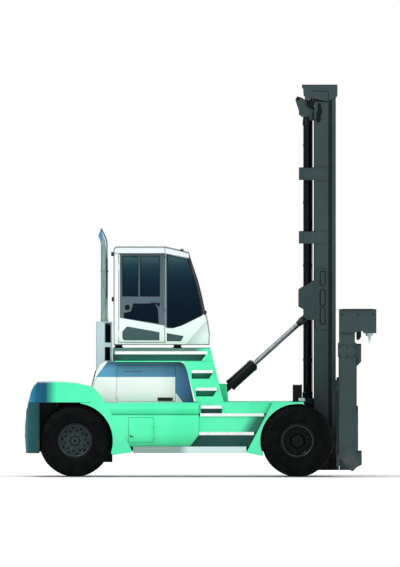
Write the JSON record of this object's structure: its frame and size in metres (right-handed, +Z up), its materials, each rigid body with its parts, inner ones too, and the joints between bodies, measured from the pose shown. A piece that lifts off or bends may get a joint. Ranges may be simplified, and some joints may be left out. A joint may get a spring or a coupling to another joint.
{
  "type": "empty container handler",
  "caption": "Lift truck for empty containers: tall two-stage mast, side-lift telescopic spreader, high cab over the hood, dual drive wheels and steered rear wheels.",
  "frame": {"origin": "on the ground under the middle of the bounding box", "axes": "+X forwards towards the spreader, +Y to the machine's left, +Z up"},
  "size_m": [6.712, 6.153, 7.476],
  "materials": {
    "body_green": "gloss",
    "hood_white": "gloss",
    "cab_white": "gloss",
    "door_grey": "satin",
    "mast_grey": "satin",
    "chassis_black": "satin",
    "cylinder_black": "gloss",
    "rim_grey": "satin",
    "iron": "rough",
    "steel": "brushed",
    "rod_chrome": "polished",
    "tread_alloy": "brushed",
    "tyre": "matt",
    "rubber": "matt",
    "glass": "clear",
    "seat_fabric": "woven",
    "trim_black": "matt"
  },
  "bodies": {
    "chassis": {"frame": "chassis_black", "drive_axle": "chassis_black", "steer_axle": "chassis_black", "counterweight": "body_green", "rear_fenders": "body_green", "side_tanks": "body_green", "step_blocks": "body_green", "steps": "tread_alloy", "front_fenders": "body_green", "deck": "body_green", "platform": "body_green", "hood": "hood_white", "engine": "iron", "exhaust_shield": "tread_alloy", "exhaust": "steel", "valve_boxes": "cylinder_black", "cab_shell": "cab_white", "cab_roof": "cab_white", "cab_glass": "glass", "cab_mounts": "rubber", "seat": "seat_fabric", "cab_fittings": "trim_black"},
    "hatch": {"tank_hatch": "body_green"},
    "outer_stage": {"outer_rails": "mast_grey", "outer_ties": "mast_grey", "lift_barrels": "cylinder_black"},
    "inner_stage": {"inner_rails": "mast_grey", "inner_crosshead": "mast_grey", "mast_sheaves": "steel", "lift_rods": "rod_chrome"},
    "carriage": {"carriage": "mast_grey"},
    "spreader": {"spreader_frame": "mast_grey"},
    "arm_left": {"spreader_arm_left": "mast_grey"},
    "lock_left": {"twistlock_left": "steel"},
    "hood_door_left": {"hood_door_left": "hood_white"},
    "cab_door_left": {"cab_door_left": "door_grey", "door_glass_left": "glass"},
    "drive_wheels_left": {"drive_tyres_left": "tyre", "drive_rims_left": "rim_grey"},
    "knuckle_left": {"knuckle_left": "chassis_black"},
    "steer_wheel_left": {"steer_tyre_left": "tyre", "steer_rim_left": "rim_grey"},
    "tilt_barrel_left": {"tilt_barrel_left": "cylinder_black"},
    "tilt_rod_left": {"tilt_rod_left": "rod_chrome"},
    "arm_right": {"spreader_arm_right": "mast_grey"},
    "lock_right": {"twistlock_right": "steel"},
    "hood_door_right": {"hood_door_right": "hood_white"},
    "cab_door_right": {"cab_door_right": "door_grey", "door_glass_right": "glass"},
    "drive_wheels_right": {"drive_tyres_right": "tyre", "drive_rims_right": "rim_grey"},
    "knuckle_right": {"knuckle_right": "chassis_black"},
    "steer_wheel_right": {"steer_tyre_right": "tyre", "steer_rim_right": "rim_grey"},
    "tilt_barrel_right": {"tilt_barrel_right": "cylinder_black"},
    "tilt_rod_right": {"tilt_rod_right": "rod_chrome"}
  },
  "joints": [
    {"name": "mast_tilt", "type": "hinge", "parent": "chassis", "child": "outer_stage", "pos_m": [2.12, 0, 0.52], "axis": [0, 1, 0], "range_deg": [-4, 3]},
    {"name": "mast_lift", "type": "slide", "parent": "outer_stage", "child": "inner_stage", "axis": [0, 0, 1], "range_m": [0, 5]},
    {"name": "carriage_lift", "type": "slide", "parent": "inner_stage", "child": "carriage", "axis": [0, 0, 1], "range_m": [0, 5]},
    {"name": "side_shift", "type": "slide", "parent": "carriage", "child": "spreader", "axis": [0, 1, 0], "range_m": [-0.6, 0.6]},
    {"name": "arm_left", "type": "slide", "parent": "spreader", "child": "arm_left", "axis": [0, 1, 0], "range_m": [0, 3.066]},
    {"name": "lock_left", "type": "hinge", "parent": "arm_left", "child": "lock_left", "pos_m": [3.22, 2.9265, 2.7], "axis": [0, 0, 1], "range_deg": [0, 90]},
    {"name": "steer_left", "type": "hinge", "parent": "chassis", "child": "knuckle_left", "pos_m": [-2.4, 0.95, 0.685], "axis": [0, 0, 1], "range_deg": [-55, 55]},
    {"name": "steer_wheel_left", "type": "hinge", "parent": "knuckle_left", "child": "steer_wheel_left", "pos_m": [-2.4, 1.15, 0.685], "axis": [0, 1, 0], "continuous": true},
    {"name": "drive_wheels_left", "type": "hinge", "parent": "chassis", "child": "drive_wheels_left", "pos_m": [1.85, 1.122, 0.685], "axis": [0, 1, 0], "continuous": true},
    {"name": "tilt_barrel_left", "type": "hinge", "parent": "chassis", "child": "tilt_barrel_left", "pos_m": [0.445, 0.638, 1.627], "axis": [0, 1, 0], "range_deg": [-3.2, 2.5]},
    {"name": "tilt_rod_left", "type": "slide", "parent": "tilt_barrel_left", "child": "tilt_rod_left", "axis": [0.7417, 0, 0.6708], "range_m": [-0.14, 0.106]},
    {"name": "cab_door_left", "type": "hinge", "parent": "chassis", "child": "cab_door_left", "pos_m": [-1.5725, 0.753, 3.3], "axis": [0, 0, 1], "range_deg": [0, 95]},
    {"name": "hood_door_left", "type": "hinge", "parent": "chassis", "child": "hood_door_left", "pos_m": [-1.6025, 0.863, 1.76], "axis": [0, 0, 1], "range_deg": [0, 85]},
    {"name": "arm_right", "type": "slide", "parent": "spreader", "child": "arm_right", "axis": [0, -1, 0], "range_m": [0, 3.066]},
    {"name": "lock_right", "type": "hinge", "parent": "arm_right", "child": "lock_right", "pos_m": [3.22, -2.9265, 2.7], "axis": [0, 0, 1], "range_deg": [0, 90]},
    {"name": "steer_right", "type": "hinge", "parent": "chassis", "child": "knuckle_right", "pos_m": [-2.4, -0.95, 0.685], "axis": [0, 0, 1], "range_deg": [-55, 55]},
    {"name": "steer_wheel_right", "type": "hinge", "parent": "knuckle_right", "child": "steer_wheel_right", "pos_m": [-2.4, -1.15, 0.685], "axis": [0, 1, 0], "continuous": true},
    {"name": "drive_wheels_right", "type": "hinge", "parent": "chassis", "child": "drive_wheels_right", "pos_m": [1.85, -1.122, 0.685], "axis": [0, 1, 0], "continuous": true},
    {"name": "tilt_barrel_right", "type": "hinge", "parent": "chassis", "child": "tilt_barrel_right", "pos_m": [0.445, -0.638, 1.627], "axis": [0, 1, 0], "range_deg": [-3.2, 2.5]},
    {"name": "tilt_rod_right", "type": "slide", "parent": "tilt_barrel_right", "child": "tilt_rod_right", "axis": [0.7417, 0, 0.6708], "range_m": [-0.14, 0.106]},
    {"name": "cab_door_right", "type": "hinge", "parent": "chassis", "child": "cab_door_right", "pos_m": [-1.5725, -0.753, 3.3], "axis": [0, 0, -1], "range_deg": [0, 95]},
    {"name": "hood_door_right", "type": "hinge", "parent": "chassis", "child": "hood_door_right", "pos_m": [-1.6025, -0.863, 1.76], "axis": [0, 0, -1], "range_deg": [0, 85]},
    {"name": "tank_hatch", "type": "hinge", "parent": "chassis", "child": "hatch", "pos_m": [-0.9025, -1.413, 0.9], "axis": [0, 0, 1], "range_deg": [0, 100]}
  ],
  "couplings": [
    {"joint": "carriage_lift", "follows": "mast_lift", "ratio": 1},
    {"joint": "arm_right", "follows": "arm_left", "ratio": 1},
    {"joint": "lock_right", "follows": "lock_left", "ratio": 1},
    {"joint": "steer_right", "follows": "steer_left", "ratio": 1},
    {"joint": "tilt_barrel_left", "follows": "mast_tilt", "ratio": 0.76851},
    {"joint": "tilt_rod_left", "follows": "mast_tilt", "m_per_rad": 1.9446},
    {"joint": "tilt_barrel_right", "follows": "mast_tilt", "ratio": 0.76851},
    {"joint": "tilt_rod_right", "follows": "mast_tilt", "m_per_rad": 1.9446}
  ]
}
